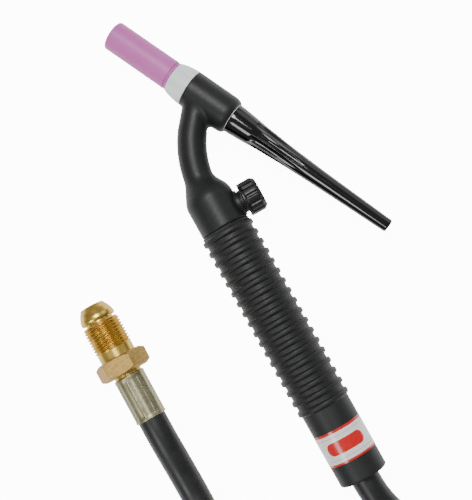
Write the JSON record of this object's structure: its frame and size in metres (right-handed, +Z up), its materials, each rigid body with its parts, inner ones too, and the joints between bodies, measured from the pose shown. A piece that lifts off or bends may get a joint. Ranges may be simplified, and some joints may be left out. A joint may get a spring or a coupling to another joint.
{
  "type": "tig welding torch",
  "caption": "Air-cooled arc welding torch with ceramic nozzle, bendable neck, gas valve, long back cap, ribbed handle and coiled power and gas hose with brass inlet fitting.",
  "frame": {"origin": "on the floor under the middle of the torch, which lies on its side", "axes": "+Y along the handle towards the head, +X towards the valve knob and the back cap, +Z up"},
  "size_m": [0.2364, 0.5542, 0.0355],
  "materials": {
    "alumina": "pink alumina ceramic, satin glaze",
    "ptfe": "white moulded PTFE, slightly translucent",
    "moulded_rubber": "matte black moulded silicone rubber",
    "handle_rubber": "matte dark grey moulded rubber",
    "hose_rubber": "black extruded rubber, fine mandrel texture",
    "cap_phenolic": "high gloss black moulded phenolic",
    "knob_plastic": "black moulded plastic",
    "copper": "machined copper",
    "brass": "machined brass",
    "tungsten": "ground tungsten",
    "plated_steel": "zinc plated steel, crimped",
    "seal_rubber": "seal rubber",
    "label_film": "printed vinyl film",
    "strap_webbing": "woven hook and loop strap"
  },
  "bodies": {
    "handle_body": {"handle": "handle_rubber", "handle_label": "label_film", "valve_body_moulding": "moulded_rubber", "valve_core": "brass", "neck_tube": "copper", "neck_sleeve": "moulded_rubber", "cable_union_nut": "brass", "cable_nipple": "brass", "cable_ferrule": "plated_steel", "hose_end_handle": "hose_rubber", "hose_torch_side": "hose_rubber", "hose_coil": "hose_rubber", "coil_strap_left": "strap_webbing", "coil_strap_right": "strap_webbing", "hose_fitting_side": "hose_rubber", "hose_end_fitting": "hose_rubber", "fitting_ferrule": "plated_steel", "fitting_nipple": "brass"},
    "head": {"head_moulding": "moulded_rubber", "head_core": "brass", "collet_body": "copper", "collet": "copper"},
    "electrode_rod": {"electrode": "tungsten"},
    "shield": {"heat_shield": "ptfe"},
    "cup": {"nozzle": "alumina"},
    "cap_seal": {"back_cap_o_ring": "seal_rubber"},
    "cap": {"back_cap": "cap_phenolic"},
    "stem_seal": {"stem_o_ring": "seal_rubber"},
    "knob": {"valve_knob": "knob_plastic", "valve_stem": "brass"},
    "inlet_nut": {"swivel_nut": "brass"}
  },
  "joints": [
    {"name": "neck_bend", "type": "hinge", "parent": "handle_body", "child": "head", "pos_m": [-0.02899, 0.0588, 0.01565], "axis": [0, 0, 1], "range_deg": [-20, 40], "deforming": ["neck_sleeve", "neck_tube"]},
    {"name": "electrode_slide", "type": "slide", "parent": "head", "child": "electrode_rod", "axis": [-0.4289, 0.9033, 0], "range_m": [0, 0.018]},
    {"name": "nozzle_travel", "type": "slide", "parent": "head", "child": "shield", "axis": [-0.4289, 0.9033, 0], "range_m": [0, 0.00507]},
    {"name": "nozzle_turn", "type": "hinge", "parent": "shield", "child": "cup", "pos_m": [-0.00944, 0.08511, 0.01565], "axis": [-0.4289, 0.9033, 0], "range_deg": [0, 1440]},
    {"name": "cap_travel", "type": "slide", "parent": "head", "child": "cap_seal", "axis": [0.4289, -0.9033, 0], "range_m": [0, 0.00599]},
    {"name": "cap_turn", "type": "hinge", "parent": "cap_seal", "child": "cap", "pos_m": [-0.00944, 0.08511, 0.01565], "axis": [0.4289, -0.9033, 0], "range_deg": [0, 2160]},
    {"name": "stem_travel", "type": "slide", "parent": "handle_body", "child": "stem_seal", "axis": [1, 0, 0], "range_m": [0, 0.00159]},
    {"name": "knob_turn", "type": "hinge", "parent": "stem_seal", "child": "knob", "pos_m": [-0.0337, 0.0203, 0.01565], "axis": [1, 0, 0], "range_deg": [0, 720]},
    {"name": "nut_spin", "type": "hinge", "parent": "handle_body", "child": "inlet_nut", "pos_m": [-0.1217, 0.0084, 0.0135], "axis": [0, 1, 0], "continuous": true}
  ],
  "couplings": [
    {"joint": "nozzle_turn", "follows": "nozzle_travel", "rad_per_m": 4947.4},
    {"joint": "cap_turn", "follows": "cap_travel", "rad_per_m": 6283.2},
    {"joint": "knob_turn", "follows": "stem_travel", "rad_per_m": 7854}
  ]
}
